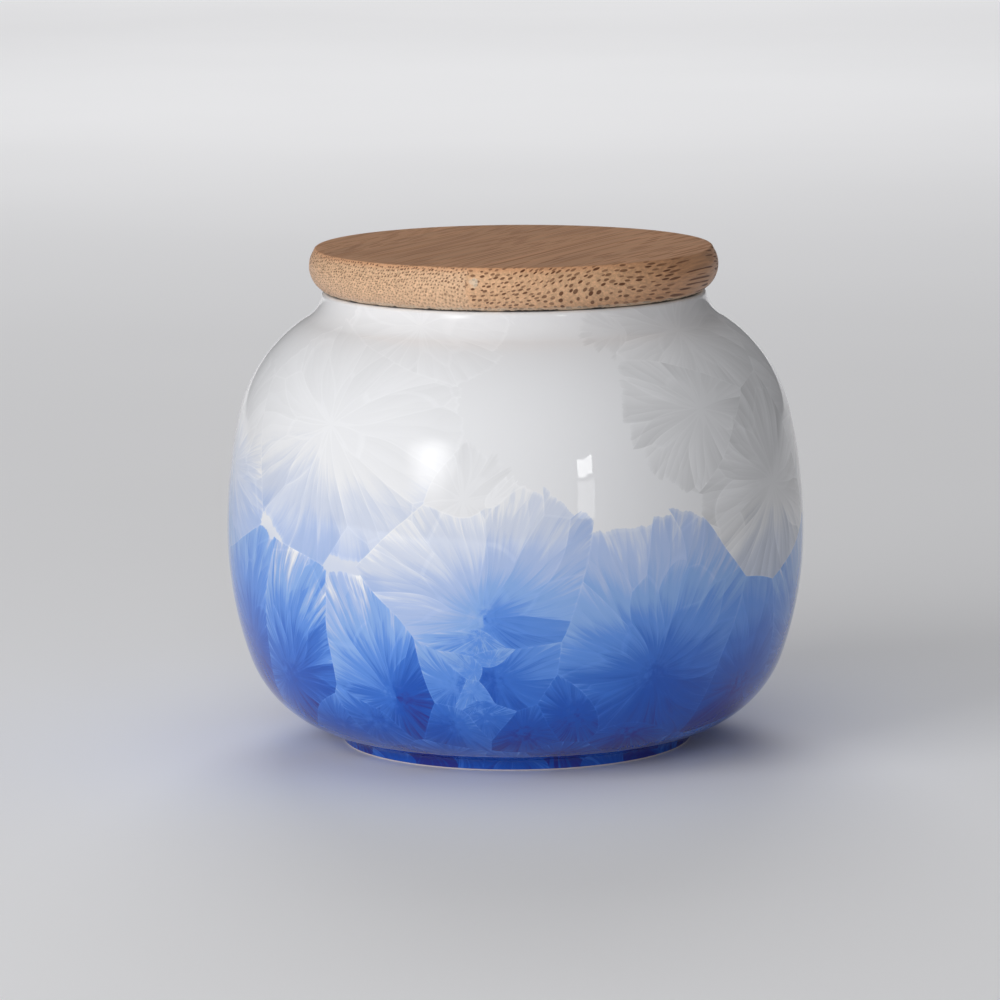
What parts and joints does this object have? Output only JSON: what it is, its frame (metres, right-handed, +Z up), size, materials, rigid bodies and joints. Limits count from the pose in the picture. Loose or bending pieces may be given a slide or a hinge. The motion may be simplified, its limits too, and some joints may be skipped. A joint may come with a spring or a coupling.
{
  "type": "keepsake urn",
  "caption": "Small round-bodied porcelain keepsake urn, open inside, with a flat round bamboo lid that plugs its mouth and lifts off.",
  "frame": {"origin": "middle of the foot ring's underside, on the axis of the jar", "axes": "+Z up along the axis the jar is turned about; +Y away from whoever sees the front of the glaze, +X to their right"},
  "size_m": [0.1, 0.1, 0.0861],
  "materials": {
    "glaze": "glossy crystalline glaze, white at the neck running to cobalt blue at the foot",
    "bamboo": "satin, oiled laminated bamboo"
  },
  "bodies": {
    "root": {"jar": "glaze", "lid": "bamboo"}
  },
  "joints": []
}
